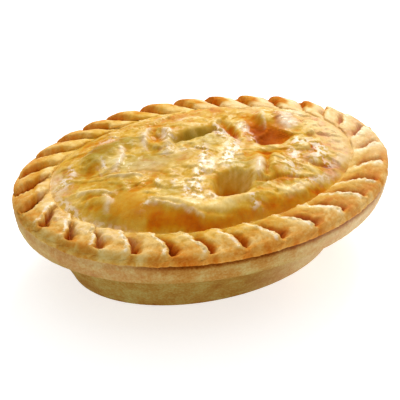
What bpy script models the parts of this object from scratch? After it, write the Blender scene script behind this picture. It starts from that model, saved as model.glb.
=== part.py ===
"""An oval chicken pie, baked in a flared oval tray, turned out, and crimped by hand like a rope.

One closed solid, "pie". Metres, +Z up: the origin is the middle of the flat base, and +X runs along
the long axis. The surface is a stack of closed rings, from the middle of the base, out and up the case,
over the crimped rim, and in across the lid to its middle. Around the rim the rings are turned step by
step, so that the mesh's columns follow the slanting strands of the crimp.
"""

import random

import bmesh
import bpy
import numpy as np

# Driving sizes
PIE_LENGTH = 0.150
PIE_WIDTH = 0.114
SEAM_HEIGHT = 0.033
CASE_LIP_HEIGHT = 0.0080
BASE_INSET = 0.0208
WALL_TOP_INSET = 0.0095
STRAND_COUNT = 30
FURROW_DEPTH = 0.0044
STRAND_SLANT = 0.80
STRAND_CREST = 0.84
STRAND_CREST_AT_BACK = 0.66
CRIMP_WIDTH = 0.0150
DOME_RISE = 0.0068

# Derived sizes
HALF_LENGTH = PIE_LENGTH / 2
HALF_WIDTH = PIE_WIDTH / 2
LIP_UNDERSIDE = SEAM_HEIGHT - CASE_LIP_HEIGHT
LID_EDGE_HEIGHT = SEAM_HEIGHT + 0.0034
LID_HALF_LENGTH = HALF_LENGTH - CRIMP_WIDTH
LID_HALF_WIDTH = HALF_WIDTH - CRIMP_WIDTH

# The dome's shoulder is firmer at the front, -Y, than at the back
FRONT_SHOULDER = 8.0
BACK_SHOULDER = 6.0

# How far the hand-made rim swells out and rises, every 30 degrees from this angle on
RIM_UNEVEN_START = 5.0
RIM_UNEVEN = np.array((
    (-0.0015, -0.0013), (-0.0019, -0.0016), (-0.0028, -0.0019), (-0.0028, -0.0012),
    (-0.0028, -0.0008), (-0.0014, -0.0001), (-0.0004, 0.0002), (0.0004, 0.0001),
    (0.0005, 0.0000), (0.0004, -0.0001), (0.0002, -0.0004), (-0.0008, -0.0010),
))

# How far every second strand has drifted round the rim, in strands
STRAND_DRIFTS = (0.23, -0.11, -0.07, -0.04, 0.28, 0.21, 0.40, 0.33, 0.29, 0.15, 0.09, 0.12, 0.21, 0.12, 0.33)

# Mesh detail: columns round the rim for each strand
COLUMNS_PER_STRAND = 8
RIM_COLUMNS = STRAND_COUNT * COLUMNS_PER_STRAND

# How far the strands' crests overhang the furrow before them, in strands, how far they swell outward over the
# rim's edge, and how far their heads reach in over the lid's edge, in metres
CREST_OVERHANG = 0.10
STRAND_SWELL = 0.0007
HEAD_REACH = 0.0013

# Case, from the foot of its wall to the seam under the lid: (inset from the rim's edge, height)
WALL_SECTION = (
    (BASE_INSET + 0.0002, 0.0005),
    (BASE_INSET - 0.0006, 0.0016),
    (WALL_TOP_INSET + 0.0009, LIP_UNDERSIDE - 0.0022),
)
LIP_SECTION = (
    (WALL_TOP_INSET - 0.0008, LIP_UNDERSIDE - 0.0006),
    (0.0026, LIP_UNDERSIDE - 0.0002),
    (0.0013, LIP_UNDERSIDE + 0.0014),
    (0.0006, SEAM_HEIGHT - 0.0030),
    (0.0005, SEAM_HEIGHT - 0.0009),
    (0.0016, SEAM_HEIGHT),
)

# Crests of the crimp, from the seam to the lid:
# (inset from the rim's edge, height, share of the furrows' depth, how much of a strand its rounded flank takes)
CRIMP_SECTION = (
    (0.0004, SEAM_HEIGHT + 0.0008, 0.00, 0.20),
    (0.0013, SEAM_HEIGHT + 0.0027, 0.08, 0.24),
    (0.0026, SEAM_HEIGHT + 0.0039, 0.50, 0.28),
    (0.0042, SEAM_HEIGHT + 0.0048, 0.92, 0.34),
    (0.0066, SEAM_HEIGHT + 0.0053, 1.00, 0.38),
    (0.0092, SEAM_HEIGHT + 0.0054, 0.88, 0.38),
    (0.0116, SEAM_HEIGHT + 0.0052, 0.60, 0.34),
    (0.0136, SEAM_HEIGHT + 0.0046, 0.34, 0.32),
)

# Lumps of filling under the lid: (middle x, middle y, half length, half width, turn in degrees, height, edge)
# An edge of 2 is a soft swelling, and a larger one has steeper sides and a flatter top.
LUMPS = (
    (-0.0362, 0.0142, 0.0085, 0.0062, 25.0, 0.0024, 4.0),
    (-0.0250, 0.0176, 0.0056, 0.0048, 10.0, 0.0014, 4.0),
    (-0.0482, -0.0132, 0.0045, 0.0055, -20.0, 0.0015, 4.0),
    (-0.0295, -0.0262, 0.0150, 0.0062, -36.0, 0.0018, 2.5),
    (-0.0040, -0.0358, 0.0180, 0.0042, 0.0, 0.0016, 3.0),
    (0.0128, -0.0190, 0.0032, 0.0095, -29.0, 0.0018, 3.0),
    (0.0212, -0.0200, 0.0046, 0.0080, -20.0, 0.0018, 4.0),
    (0.0325, 0.0120, 0.0090, 0.0055, 15.0, 0.0022, 3.0),
    (0.0400, 0.0078, 0.0050, 0.0068, -25.0, 0.0022, 4.0),
    (0.0375, -0.0150, 0.0080, 0.0090, 0.0, 0.0016, 3.0),
    (0.0000, 0.0180, 0.0115, 0.0055, 0.0, 0.0018, 2.5),
    (0.0200, 0.0250, 0.0130, 0.0050, -10.0, 0.0012, 2.0),
    (-0.0060, -0.0050, 0.0160, 0.0085, 10.0, 0.0011, 2.0),
)

# A ring-shaped fold, thrown up round a dimple:
# (middle x, middle y, half length, half width, ring's width, height)
RING_FOLD = (-0.0133, 0.0155, 0.0052, 0.0066, 0.0026, 0.0013)

# Hollows, the steam hole last: (middle x, middle y, half length, half width, turn in degrees, depth, edge)
HOLLOWS = (
    (0.0010, 0.0108, 0.0095, 0.0028, 3.0, 0.0030, 3.0),
    (-0.0450, 0.0062, 0.0050, 0.0034, 0.0, 0.0013, 2.0),
    (-0.0133, 0.0155, 0.0024, 0.0030, 0.0, 0.0013, 2.0),
    (0.0150, 0.0088, 0.0022, 0.0078, -5.0, 0.0028, 2.0),
    (0.0258, 0.0100, 0.0026, 0.0062, 0.0, 0.0017, 2.0),
    (0.0202, -0.0110, 0.0034, 0.0022, -10.0, 0.0014, 2.0),
    (0.0000, -0.0242, 0.0072, 0.0057, 25.0, 0.0084, 5.0),
)

# Folds and creases of the lid:
# (start x, y, bend x, y, end x, y, height, width of the right side, width of the left side of the way)
FOLDS = (
    (0.0205, -0.0008, 0.0255, -0.0096, 0.0362, -0.0020, -0.0030, 0.0020, 0.0090),
    (-0.0165, -0.0372, -0.0240, -0.0300, -0.0345, -0.0232, 0.0017, 0.0045, 0.0014),
    (0.0090, -0.0325, 0.0000, -0.0352, -0.0090, -0.0325, 0.0008, 0.0024, 0.0020),
    (0.0290, -0.0335, 0.0220, -0.0368, 0.0130, -0.0350, 0.0010, 0.0024, 0.0014),
    (-0.0088, 0.0084, 0.0000, 0.0078, 0.0110, 0.0096, 0.0015, 0.0045, 0.0014),
    (-0.0283, 0.0150, -0.0272, 0.0095, -0.0375, -0.0008, 0.0014, 0.0026, 0.0014),
    (-0.0535, -0.0045, -0.0465, -0.0080, -0.0403, -0.0130, 0.0011, 0.0014, 0.0018),
    (-0.0410, -0.0005, -0.0350, -0.0040, -0.0270, -0.0070, 0.0012, 0.0014, 0.0018),
    (0.0205, -0.0112, 0.0175, -0.0180, 0.0118, -0.0260, -0.0014, 0.0014, 0.0014),
    (0.0068, -0.0263, 0.0140, -0.0262, 0.0285, -0.0298, -0.0012, 0.0014, 0.0014),
)

PASTRY = (0.72, 0.42, 0.15)


def arc_length_angles(count):
    """Angles that part the rim's ellipse into count stretches of one length, and the whole length."""
    steps = 7200
    middles = 2 * np.pi * (np.arange(steps) + 0.5) / steps
    speeds = np.hypot(HALF_LENGTH * np.sin(middles), HALF_WIDTH * np.cos(middles))
    lengths = np.concatenate(([0.0], np.cumsum(speeds))) * 2 * np.pi / steps
    edges = 2 * np.pi * np.arange(steps + 1) / steps
    return np.interp(lengths[-1] * np.arange(count + 1) / count, lengths, edges), lengths[-1]


RIM_ANGLES, RIM_LENGTH = arc_length_angles(STRAND_COUNT * 48)


def rim_angle(place):
    """The ellipse angle at a place on the rim, counted in strands from +X."""
    position = np.mod(np.asarray(place) / STRAND_COUNT, 1.0) * (len(RIM_ANGLES) - 1)
    return np.interp(position, np.arange(len(RIM_ANGLES)), RIM_ANGLES)


def strand_turn(inset):
    """How far the crimp's columns have turned at this inset, in strands: the outer end lies further round."""
    pitch = RIM_LENGTH / STRAND_COUNT
    return STRAND_SLANT * (CRIMP_WIDTH - min(inset, CRIMP_WIDTH)) / pitch


def strand_profile(share, flank, crest):
    """Height across one strand: 0 in the furrow, up a rounded flank to the crest, and a steeper drop."""
    rise = np.sin(np.pi / 2 * np.minimum(1.0, share / flank)) ** 1.15
    crown = 0.72 + 0.28 * smooth_step(0.10, crest, share)
    drop = np.cos(np.pi / 2 * np.maximum(0.0, (share - crest) / (1 - crest)) ** 1.6)
    return rise * crown * drop


def rim_wobble(angle):
    """The hand-made rim's unevenness: how far it swells out and rises at this angle."""
    count = len(RIM_UNEVEN)
    position = np.mod(np.degrees(angle) - RIM_UNEVEN_START, 360.0) * count / 360.0
    first = np.floor(position).astype(int) % count
    share = (position - np.floor(position))[..., None]
    before, start, end, after = (RIM_UNEVEN[(first + step) % count] for step in (-1, 0, 1, 2))
    bend = 2 * start - 2 * end + (end - before + after - start) / 2
    lean = 3 * (end - start) - (end - before) - (after - start) / 2
    uneven = start + share * (end - before) / 2 + share**2 * lean + share**3 * bend
    return uneven[..., 0], uneven[..., 1]


def smooth_step(low, high, value):
    """0 below low, 1 above high, and a smooth rise between them."""
    share = np.clip((value - low) / (high - low), 0.0, 1.0)
    return share * share * (3 - 2 * share)


def distance_share(x, y, middle_x, middle_y, half_length, half_width, turn):
    """How far a point lies from a feature's middle, as a share of its half sizes."""
    cosine = np.cos(np.radians(turn))
    sine = np.sin(np.radians(turn))
    along = cosine * (x - middle_x) + sine * (y - middle_y)
    across = cosine * (y - middle_y) - sine * (x - middle_x)
    return np.hypot(along / half_length, across / half_width)


def fold_height(x, y, fold):
    """Height of one fold: a ridge along a bent line, with its own width on each side, fading at its ends."""
    start_x, start_y, bend_x, bend_y, end_x, end_y, height, right_width, left_width = fold
    share = np.linspace(0.0, 1.0, 25)
    line_x = (1 - share) ** 2 * start_x + 2 * share * (1 - share) * bend_x + share**2 * end_x
    line_y = (1 - share) ** 2 * start_y + 2 * share * (1 - share) * bend_y + share**2 * end_y
    away_x = x[..., None] - line_x
    away_y = y[..., None] - line_y
    nearest = np.argmin(away_x**2 + away_y**2, axis=-1)
    ahead_x = np.gradient(line_x)[nearest]
    ahead_y = np.gradient(line_y)[nearest]
    length = np.hypot(ahead_x, ahead_y)
    away_x = np.take_along_axis(away_x, nearest[..., None], -1)[..., 0]
    away_y = np.take_along_axis(away_y, nearest[..., None], -1)[..., 0]
    to_left = (ahead_x * away_y - ahead_y * away_x) / length
    width = np.where(to_left > 0, left_width, right_width)
    past_end = (ahead_x * away_x + ahead_y * away_y) / length
    fade = 1 - np.abs(2 * share[nearest] - 1) ** 4
    return height * fade * np.exp(-(to_left**2) / width**2 - past_end**2 / right_width**2)


def lid_height(x, y):
    """Height of the lid: a dome with a firm shoulder, the filling's lumps, the folds and the hollows."""
    reach = np.minimum(1.0, np.hypot(x / LID_HALF_LENGTH, y / LID_HALF_WIDTH))
    to_back = smooth_step(-0.8, 0.3, y / LID_HALF_WIDTH)
    shoulder = FRONT_SHOULDER + (BACK_SHOULDER - FRONT_SHOULDER) * to_back
    height = LID_EDGE_HEIGHT + DOME_RISE * (0.8 * (1 - reach**shoulder) + 0.2 * (1 - reach**2))
    relief = np.zeros_like(height)
    for *place, rise, edge in LUMPS:
        relief += rise * np.exp(-(distance_share(x, y, *place) ** edge))
    middle_x, middle_y, half_length, half_width, ring_width, rise = RING_FOLD
    far = distance_share(x, y, middle_x, middle_y, half_length, half_width, 0.0)
    relief += rise * np.exp(-(((far - 1) * half_length / ring_width) ** 2))
    for fold in FOLDS:
        relief += fold_height(x, y, fold)
    for *place, depth, edge in HOLLOWS:
        relief -= depth * np.exp(-(distance_share(x, y, *place) ** edge))
    return height + relief * (1 - reach**10)


def case_ring(inset, height, columns):
    """A ring of the case, inset from the rim's edge. At the left end the seam is pinched shut."""
    angle = rim_angle(STRAND_COUNT * np.arange(columns) / columns + strand_turn(0.0))
    swell, rise = rim_wobble(angle)
    parted = smooth_step(-0.80, -0.40, np.cos(angle))
    near_seam = smooth_step(SEAM_HEIGHT - 0.0012, SEAM_HEIGHT - 0.0004, height)
    inset = inset - (1 - parted) * near_seam * max(0.0, inset - 0.0005)
    share = height / SEAM_HEIGHT
    x = (HALF_LENGTH - inset + swell * share) * np.cos(angle)
    y = (HALF_WIDTH - inset + swell * share) * np.sin(angle)
    return np.column_stack((x, y, height + rise * share**2))


def crimp_ring(inset, height, share, flank, strands):
    """A ring across the strands of the crimp."""
    strand, column = np.divmod(np.arange(RIM_COLUMNS), COLUMNS_PER_STRAND)
    even = column / COLUMNS_PER_STRAND
    part = 1 - (1 - even) ** 1.45
    sizes, starts = strands.T
    ends = np.roll(starts, -1)
    uneven = starts[strand] + part * (1 + ends - starts)[strand]
    along = strand + even
    around = np.where(along > 0.75 * STRAND_COUNT, along - STRAND_COUNT, along)
    back = smooth_step(-1.0, 2.0, around) * smooth_step(15.5, 12.5, around)
    back_right = smooth_step(-3.5, -1.5, around) * smooth_step(7.0, 4.5, around)
    left = smooth_step(11.0, 13.5, along) * smooth_step(19.5, 17.0, along)
    band = 0.0012 - 0.0045 * back + 0.0012 * left
    hold = smooth_step(0.0, 0.10, share)
    share = share * (1 - 0.25 * back_right) * smooth_step(band, band + 0.0030, inset)
    profile = strand_profile(part, flank, STRAND_CREST + (STRAND_CREST_AT_BACK - STRAND_CREST) * back)
    place = along + hold * (uneven - even) + CREST_OVERHANG * share * profile
    angle = rim_angle(place + strand_turn(inset))
    swell, rise = rim_wobble(angle)
    near_edge = smooth_step(0.009, 0.0, inset) * smooth_step(-0.0005, 0.0016, inset)
    near_lid = smooth_step(0.0100, 0.0138, inset) * smooth_step(0.0150, 0.0138, inset)
    out = swell * (1 - inset / CRIMP_WIDTH) - inset
    out += sizes[strand] * (STRAND_SWELL * profile * near_edge - HEAD_REACH * (profile - 0.5) * near_lid)
    x = (HALF_LENGTH + out) * np.cos(angle)
    y = (HALF_WIDTH + out) * np.sin(angle)
    return np.column_stack((x, y, height + rise - FURROW_DEPTH * sizes[strand] * share * (1 - profile)))


def lid_ring(share, columns):
    """A ring of the lid, a share of the way from its middle to the crimp."""
    angle = rim_angle(STRAND_COUNT * np.arange(columns) / columns)
    _, rise = rim_wobble(angle)
    x = LID_HALF_LENGTH * share * np.cos(angle)
    y = LID_HALF_WIDTH * share * np.sin(angle)
    return np.column_stack((x, y, lid_height(x, y) + rise * share**4))


def join_rings(shape, first, second):
    """Joins two rings, the first nearer the base, of one size or one with twice the columns of the other."""
    if len(first) == len(second):
        for index in range(len(first)):
            after = (index + 1) % len(first)
            shape.faces.new((first[index], first[after], second[after], second[index]))
        return
    wide, narrow, flip = (first, second, False) if len(first) > len(second) else (second, first, True)
    for index in range(len(narrow)):
        after = (index + 1) % len(narrow)
        left, middle, right = wide[2 * index], wide[2 * index + 1], wide[(2 * index + 2) % len(wide)]
        faces = (
            (left, middle, narrow[index]),
            (middle, narrow[after], narrow[index]),
            (middle, right, narrow[after]),
        )
        for face in faces:
            shape.faces.new(tuple(reversed(face)) if flip else face)


def close_ring(shape, ring, middle, is_base):
    """Closes a ring with a fan to one point."""
    point = shape.verts.new(middle)
    for index in range(len(ring)):
        after = (index + 1) % len(ring)
        face = (point, ring[after], ring[index]) if is_base else (ring[index], ring[after], point)
        shape.faces.new(face)


def draw_strands():
    """Each strand's size and where it starts, as uneven as fingers make them."""
    rng = random.Random(7)
    sizes = [rng.uniform(0.86, 1.12) for _ in range(STRAND_COUNT)]
    drifts = STRAND_DRIFTS + STRAND_DRIFTS[:1]
    starts = np.interp(np.arange(STRAND_COUNT), 2 * np.arange(len(drifts)), drifts)
    return np.column_stack((sizes, starts))


def pie_rings():
    """The points of every ring, from the base to the middle of the lid."""
    strands = draw_strands()
    rings = [case_ring(BASE_INSET + 0.0010, 0.0, RIM_COLUMNS // 4)]
    rings += [case_ring(inset, height, RIM_COLUMNS // 2) for inset, height in WALL_SECTION]
    rings += [case_ring(inset, height, RIM_COLUMNS) for inset, height in LIP_SECTION]
    rings += [crimp_ring(*row, strands) for row in CRIMP_SECTION]
    rings.append(lid_ring(1.0, RIM_COLUMNS))
    rings += [lid_ring(share, RIM_COLUMNS // 2) for share in np.linspace(0.955, 0.37, 11)]
    rings += [lid_ring(share, RIM_COLUMNS // 4) for share in (0.31, 0.25, 0.19)]
    rings += [lid_ring(share, RIM_COLUMNS // 8) for share in (0.12, 0.06)]
    return rings


def build_pie():
    """The whole pie as one closed mesh."""
    shape = bmesh.new()
    rings = [[shape.verts.new(point) for point in ring] for ring in pie_rings()]
    close_ring(shape, rings[0], (0.0, 0.0, 0.0), True)
    for first, second in zip(rings, rings[1:]):
        join_rings(shape, first, second)
    close_ring(shape, rings[-1], (0.0, 0.0, lid_height(np.zeros(1), np.zeros(1))[0]), False)
    mesh = bpy.data.meshes.new("pie")
    shape.to_mesh(mesh)
    shape.free()
    mesh.shade_smooth()
    pie = bpy.data.objects.new("pie", mesh)
    bpy.context.scene.collection.objects.link(pie)
    return pie


def pastry_material():
    """Baked shortcrust, brushed with egg."""
    material = bpy.data.materials.new("pastry")
    material.use_nodes = True
    shader = material.node_tree.nodes["Principled BSDF"]
    shader.inputs["Base Color"].default_value = (*PASTRY, 1.0)
    shader.inputs["Roughness"].default_value = 0.45
    shader.inputs["Metallic"].default_value = 0.0
    return material


def main():
    for found in list(bpy.data.objects):
        bpy.data.objects.remove(found)
    pie = build_pie()
    pie.data.materials.append(pastry_material())


main()
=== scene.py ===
"""The looks of an oval chicken pie, in metres, with +Z up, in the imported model's frame.

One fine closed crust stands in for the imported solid, in baked and egg-glazed pastry. With it come a plain
pale floor, soft studio light, and the camera at the photograph's angle. The origin is the middle of the flat
base, and +X runs along the long axis.
"""

import math
import random

import bpy
import numpy as np
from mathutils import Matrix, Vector, noise


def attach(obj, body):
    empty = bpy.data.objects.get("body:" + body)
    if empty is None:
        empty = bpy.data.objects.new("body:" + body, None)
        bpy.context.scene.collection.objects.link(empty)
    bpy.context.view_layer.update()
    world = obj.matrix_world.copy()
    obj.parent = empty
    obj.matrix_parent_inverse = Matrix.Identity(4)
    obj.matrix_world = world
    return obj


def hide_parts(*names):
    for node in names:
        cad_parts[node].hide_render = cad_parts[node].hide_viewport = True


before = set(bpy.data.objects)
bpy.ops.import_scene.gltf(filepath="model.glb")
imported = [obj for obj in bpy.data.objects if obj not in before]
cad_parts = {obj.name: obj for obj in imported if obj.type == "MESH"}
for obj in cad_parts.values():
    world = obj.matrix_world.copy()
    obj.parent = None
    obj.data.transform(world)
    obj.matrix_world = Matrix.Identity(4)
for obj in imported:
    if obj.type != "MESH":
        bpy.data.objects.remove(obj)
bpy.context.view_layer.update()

# Driving sizes, as the solid has them
PIE_LENGTH = 0.150
PIE_WIDTH = 0.114
SEAM_HEIGHT = 0.033
CASE_LIP_HEIGHT = 0.0080
BASE_INSET = 0.0208
WALL_TOP_INSET = 0.0095
STRAND_COUNT = 30
FURROW_DEPTH = 0.0044
STRAND_SLANT = 0.80
STRAND_CREST = 0.84
STRAND_CREST_AT_BACK = 0.66
CRIMP_WIDTH = 0.0150
LID_EDGE_RISE = 0.0034
DOME_RISE = 0.0068

# Derived sizes
HALF_LENGTH = PIE_LENGTH / 2
HALF_WIDTH = PIE_WIDTH / 2
LIP_UNDERSIDE = SEAM_HEIGHT - CASE_LIP_HEIGHT
LID_EDGE_HEIGHT = SEAM_HEIGHT + LID_EDGE_RISE
LID_HALF_LENGTH = HALF_LENGTH - CRIMP_WIDTH
LID_HALF_WIDTH = HALF_WIDTH - CRIMP_WIDTH

# The dome has a firm part, whose shoulder is firmer at the front, -Y, than at the back, and a round part
FRONT_SHOULDER = 8.0
BACK_SHOULDER = 6.0
FIRM_SHARE = 0.8
ROUND_SHARE = 0.2

# How far the hand-made rim swells out and rises, every 30 degrees from this angle on
RIM_UNEVEN_START = 5.0
RIM_UNEVEN = np.array((
    (-0.0015, -0.0013), (-0.0019, -0.0016), (-0.0028, -0.0019), (-0.0028, -0.0012),
    (-0.0028, -0.0008), (-0.0014, -0.0001), (-0.0004, 0.0002), (0.0004, 0.0001),
    (0.0005, 0.0000), (0.0004, -0.0001), (0.0002, -0.0004), (-0.0008, -0.0010),
))

# How far every second strand has drifted round the rim, in strands
STRAND_DRIFTS = (0.23, -0.11, -0.07, -0.04, 0.28, 0.21, 0.40, 0.33, 0.29, 0.15, 0.09, 0.12, 0.21, 0.12, 0.33)

# Mesh detail
COLUMNS_PER_STRAND = 24
RIM_COLUMNS = STRAND_COUNT * COLUMNS_PER_STRAND
CRIMP_RINGS = 36
LIP_RINGS = 17
WALL_RINGS = 18
LID_RINGS = 98
ANGLES_PER_STRAND = 48
FOLD_POINTS = 25

# The columns crowd together towards each strand's steep end. The lid has fewer towards its middle: from each
# share of the way out on, the rim's columns are divided by the number after it.
COLUMN_CROWDING = 1.45
LID_THINNING = ((0.50, 1), (0.25, 2), (0.12, 4), (0.0, 8))

# How far the strands' crests overhang the furrow before them, in strands, how far they swell outward over the
# rim's edge, how far their heads reach in over the lid's edge, in metres, and the smallest and largest size
CREST_OVERHANG = 0.13
STRAND_SWELL = 0.0009
HEAD_REACH = 0.0015
STRAND_SIZES = (0.86, 1.12)

# Case, from the foot of its wall to the seam under the lid: (inset from the rim's edge, height)
WALL_SECTION = (
    (BASE_INSET + 0.0012, 0.0),
    (BASE_INSET + 0.0003, 0.0001),
    (BASE_INSET - 0.0001, 0.0005),
    (BASE_INSET - 0.0006, 0.0016),
    (WALL_TOP_INSET + 0.0009, LIP_UNDERSIDE - 0.0022),
    (WALL_TOP_INSET, LIP_UNDERSIDE - 0.0010),
)
LIP_SECTION = (
    (WALL_TOP_INSET - 0.0012, LIP_UNDERSIDE - 0.0006),
    (0.0034, LIP_UNDERSIDE - 0.0004),
    (0.0022, LIP_UNDERSIDE - 0.0001),
    (0.0015, LIP_UNDERSIDE + 0.0006),
    (0.0011, LIP_UNDERSIDE + 0.0018),
    (0.0007, LIP_UNDERSIDE + 0.0038),
    (0.0004, SEAM_HEIGHT - 0.0026),
    (0.0004, SEAM_HEIGHT - 0.0009),
    (0.0010, SEAM_HEIGHT - 0.0002),
    (0.0018, SEAM_HEIGHT),
    (0.0012, SEAM_HEIGHT + 0.0004),
)

# Crests of the crimp, from the seam to the lid:
# (inset from the rim's edge, height, share of the furrows' depth, share of a strand that its flank takes)
CRIMP_SECTION = (
    (0.0004, SEAM_HEIGHT + 0.0007, 0.00, 0.16),
    (0.0006, SEAM_HEIGHT + 0.0015, 0.02, 0.18),
    (0.0013, SEAM_HEIGHT + 0.0027, 0.08, 0.20),
    (0.0024, SEAM_HEIGHT + 0.0038, 0.42, 0.24),
    (0.0038, SEAM_HEIGHT + 0.0047, 0.86, 0.30),
    (0.0060, SEAM_HEIGHT + 0.0052, 1.00, 0.34),
    (0.0086, SEAM_HEIGHT + 0.0054, 0.92, 0.36),
    (0.0110, SEAM_HEIGHT + 0.0053, 0.66, 0.32),
    (0.0134, SEAM_HEIGHT + 0.0047, 0.38, 0.30),
    (0.0150, LID_EDGE_HEIGHT, 0.00, 0.30),
)

# Lumps of filling under the lid: (middle x, middle y, half length, half width, turn in degrees, height, edge)
# An edge of 2 is a soft swelling, and a larger one has steeper sides and a flatter top.
LUMPS = (
    (-0.0362, 0.0142, 0.0085, 0.0062, 25, 0.0024, 4),
    (-0.025, 0.0176, 0.0056, 0.0048, 10, 0.0014, 4),
    (-0.0482, -0.0132, 0.0045, 0.0055, -20, 0.0015, 4),
    (-0.0295, -0.0262, 0.015, 0.0062, -36, 0.0018, 2.5),
    (-0.004, -0.0358, 0.018, 0.0042, 0, 0.0016, 3),
    (0.0128, -0.019, 0.0032, 0.0095, -29, 0.0018, 3),
    (0.0212, -0.02, 0.0046, 0.008, -20, 0.0018, 4),
    (0.0325, 0.012, 0.009, 0.0055, 15, 0.0022, 3),
    (0.04, 0.0078, 0.005, 0.0068, -25, 0.0022, 4),
    (0.0375, -0.015, 0.008, 0.009, 0, 0.0016, 3),
    (0, 0.018, 0.0115, 0.0055, 0, 0.0018, 2.5),
    (0.02, 0.025, 0.013, 0.005, -10, 0.0012, 2),
    (-0.006, -0.005, 0.016, 0.0085, 10, 0.0011, 2),
)

# A ring-shaped fold, thrown up round a dimple:
# (middle x, middle y, half length, half width, width of the ring, height)
RING_FOLD = (-0.0133, 0.0155, 0.005, 0.0062, 0.0018, 0.0014)

# Hollows: (middle x, middle y, half length, half width, turn in degrees, depth, edge)
HOLLOWS = (
    (0.001, 0.0108, 0.0095, 0.0028, 3, 0.003, 4),
    (-0.045, 0.0062, 0.005, 0.0034, 0, 0.0013, 3),
    (-0.0133, 0.0155, 0.0022, 0.0028, 0, 0.0013, 3),
    (0.015, 0.0088, 0.0019, 0.0078, -5, 0.0028, 3),
    (0.0258, 0.01, 0.0024, 0.0062, 0, 0.0017, 3),
    (0.0202, -0.011, 0.0032, 0.0018, -10, 0.0014, 2),
)

# The steam hole, with the same rows as the hollows
STEAM_HOLE = (0, -0.0242, 0.0072, 0.0057, 25, 0.0084, 5)

# Folds and creases of the lid:
# (start x, y, bend x, y, end x, y, height, width of the right side, width of the left side of the way)
FOLDS = (
    # the slope down to the deepest brown, and its left edge
    (0.0205, -0.0008, 0.0255, -0.0096, 0.0362, -0.002, -0.003, 0.0015, 0.009),
    (0.0235, 0.009, 0.0205, 0.001, 0.0212, -0.0075, -0.0012, 0.0008, 0.0036),
    # round the steam hole and along the front
    (0.009, -0.0325, 0, -0.0352, -0.009, -0.0325, 0.0008, 0.0022, 0.002),
    (-0.0165, -0.0372, -0.024, -0.03, -0.0345, -0.0232, 0.0017, 0.0045, 0.0009),
    (-0.02, -0.0338, -0.014, -0.0358, -0.006, -0.039, -0.001, 0.0008, 0.0008),
    (0.029, -0.0335, 0.022, -0.0368, 0.013, -0.035, 0.001, 0.0024, 0.001),
    (0.0262, -0.035, 0.029, -0.0358, 0.0335, -0.0342, -0.0012, 0.0008, 0.0008),
    # right half
    (0.016, -0.015, 0.0135, -0.02, 0.0098, -0.0252, 0.0009, 0.0013, 0.001),
    (0.0205, -0.0112, 0.0175, -0.018, 0.0118, -0.026, -0.001, 0.0005, 0.0007),
    (0.0225, -0.011, 0.024, -0.017, 0.0262, -0.0215, -0.001, 0.0009, 0.0007),
    (0.0068, -0.0263, 0.014, -0.0262, 0.0285, -0.0298, -0.0013, 0.0008, 0.0009),
    (0.0315, -0.0212, 0.0345, -0.0264, 0.0435, -0.0252, -0.0012, 0.0007, 0.0009),
    (0.0275, 0.0045, 0.0295, 0.01, 0.0335, 0.017, 0.0012, 0.0009, 0.0016),
    (0.042, 0.002, 0.046, -0.004, 0.044, -0.012, 0.0007, 0.001, 0.001),
    (0.01, 0.012, 0.012, 0.018, 0.02, 0.02, 0.0009, 0.0009, 0.0016),
    (0.012, 0.0125, 0.0125, 0.006, 0.0148, 0.001, 0.0008, 0.001, 0.0008),
    # middle and back
    (-0.0088, 0.0084, 0, 0.0078, 0.011, 0.0096, 0.0015, 0.0045, 0.0007),
    (-0.0122, 0.0228, -0.0175, 0.0175, -0.0207, 0.008, 0.0011, 0.0017, 0.0009),
    (-0.0072, 0.019, -0.007, 0.011, -0.014, 0.003, 0.0009, 0.0026, 0.0009),
    (-0.0075, -0.009, -0.011, -0.015, -0.0165, -0.027, 0.0007, 0.0026, 0.001),
    (-0.022, 0.026, -0.01, 0.0275, 0.005, 0.03, 0.0007, 0.001, 0.0016),
    (0.01, 0.029, 0.022, 0.03, 0.033, 0.024, 0.0007, 0.0016, 0.001),
    # left half
    (-0.0283, 0.015, -0.0272, 0.0095, -0.0375, -0.0008, 0.0014, 0.0026, 0.0007),
    (-0.0505, 0.0046, -0.045, 0.002, -0.037, 0, -0.0009, 0.0007, 0.0012),
    (-0.041, -0.0005, -0.035, -0.004, -0.027, -0.007, 0.0012, 0.0007, 0.0018),
    (-0.0535, -0.0045, -0.0465, -0.008, -0.0403, -0.013, 0.0011, 0.0007, 0.0018),
    (-0.053, -0.0085, -0.047, -0.0105, -0.042, -0.0147, -0.0009, 0.0009, 0.0007),
    (-0.045, -0.0112, -0.0428, -0.015, -0.048, -0.019, 0.0012, 0.0016, 0.0007),
    (-0.032, -0.016, -0.029, -0.0185, -0.0268, -0.0218, 0.0009, 0.0007, 0.0012),
    (-0.031, -0.0245, -0.0272, -0.0268, -0.0228, -0.0308, -0.0011, 0.0008, 0.0008),
    (-0.0255, -0.0105, -0.0262, -0.014, -0.024, -0.017, 0.0007, 0.0009, 0.0009),
)

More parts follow.
